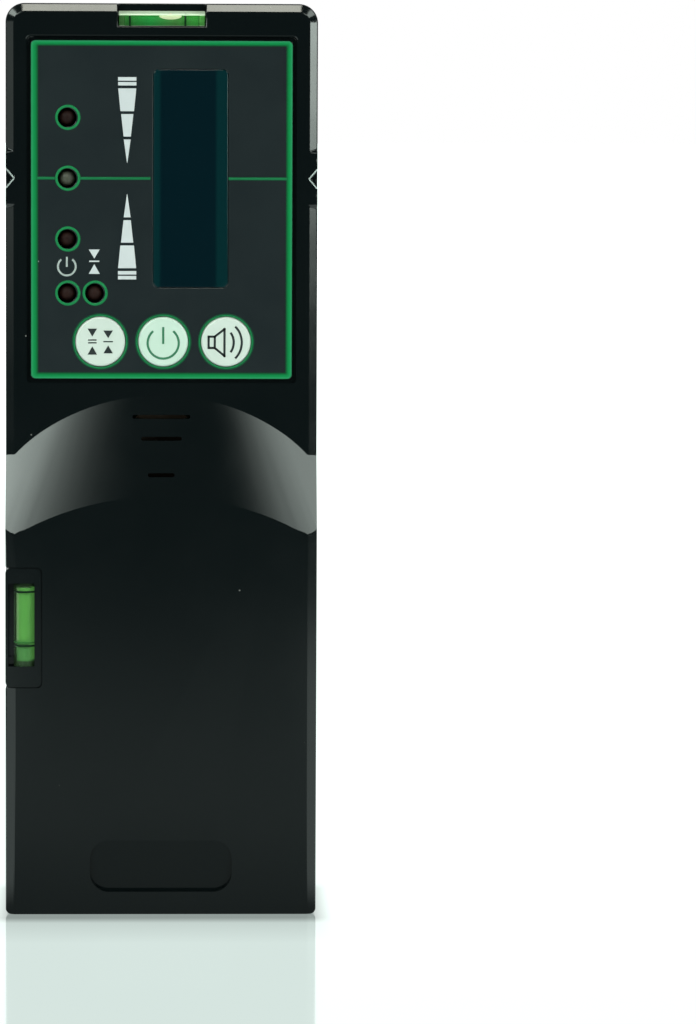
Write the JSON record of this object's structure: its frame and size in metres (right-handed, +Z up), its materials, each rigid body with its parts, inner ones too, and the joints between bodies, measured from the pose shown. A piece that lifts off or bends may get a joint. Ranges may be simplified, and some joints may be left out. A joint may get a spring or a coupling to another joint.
{
  "type": "laser receiver",
  "caption": "Hand-held laser receiver: black housing with an arched step, a printed panel with sensor window, lights and round buttons, two bubble vials and a rear battery door.",
  "frame": {"origin": "middle of the base that the receiver stands on", "axes": "+Z up, the front with the control panel faces -Y, +X to the right as seen from the front"},
  "size_m": [0.056, 0.026, 0.164],
  "materials": {
    "housing": "satin black",
    "seal": "soft",
    "steel": "plain",
    "panel": "smooth printed film",
    "window": "dark tint",
    "black_part": "matte black",
    "photodiode": "smooth",
    "board": "satin",
    "led_red": "clear dark red",
    "led_clear": "clear",
    "button_white": "smooth",
    "button_mint": "smooth",
    "ivory": "plain",
    "vial": "clear",
    "vial_plug": "smooth",
    "vial_fluid": "bright green liquid",
    "battery": "wrapped can",
    "lead_red": "plain",
    "lead_black": "plain",
    "brass": "machined"
  },
  "bodies": {
    "receiver": {"front_housing": "housing", "rear_housing": "housing", "housing_seal": "seal", "housing_screws": "steel", "control_panel": "panel", "sensor_window": "window", "sensor_shroud": "black_part", "photodiodes": "photodiode", "main_board": "board", "board_screws": "steel", "controller_chip": "black_part", "led_upper": "led_red", "led_level": "led_clear", "led_lower": "led_red", "led_power": "led_red", "led_precision": "led_red", "switch_precision": "black_part", "switch_power": "black_part", "switch_sound": "black_part", "buzzer": "black_part", "top_vial": "vial", "top_vial_plug": "vial_plug", "top_vial_fluid": "vial_fluid", "top_vial_holder": "black_part", "side_vial": "vial", "side_vial_plug": "vial_plug", "side_vial_fluid": "vial_fluid", "side_vial_holder": "black_part", "battery": "battery", "battery_terminals": "steel", "contact_block": "black_part", "snap_contacts": "steel", "lead_positive": "lead_red", "lead_negative": "lead_black", "mount_insert": "brass"},
    "precision_key": {"button_precision": "button_white", "plunger_precision": "ivory"},
    "power_key": {"button_power": "button_mint", "plunger_power": "ivory"},
    "sound_key": {"button_sound": "button_white", "plunger_sound": "ivory"},
    "door": {"battery_door": "housing"}
  },
  "joints": [
    {"name": "precision_press", "type": "slide", "parent": "receiver", "child": "precision_key", "axis": [0, 1, 0], "range_m": [0, 0.0005], "stiffness_N_per_m": 600, "springref_m": -0.0008},
    {"name": "power_press", "type": "slide", "parent": "receiver", "child": "power_key", "axis": [0, 1, 0], "range_m": [0, 0.0005], "stiffness_N_per_m": 600, "springref_m": -0.0008},
    {"name": "sound_press", "type": "slide", "parent": "receiver", "child": "sound_key", "axis": [0, 1, 0], "range_m": [0, 0.0005], "stiffness_N_per_m": 600, "springref_m": -0.0008},
    {"name": "door_swing", "type": "hinge", "parent": "receiver", "child": "door", "pos_m": [0, 0.01, 0.0033], "axis": [-1, 0, 0], "range_deg": [0, 90]}
  ]
}
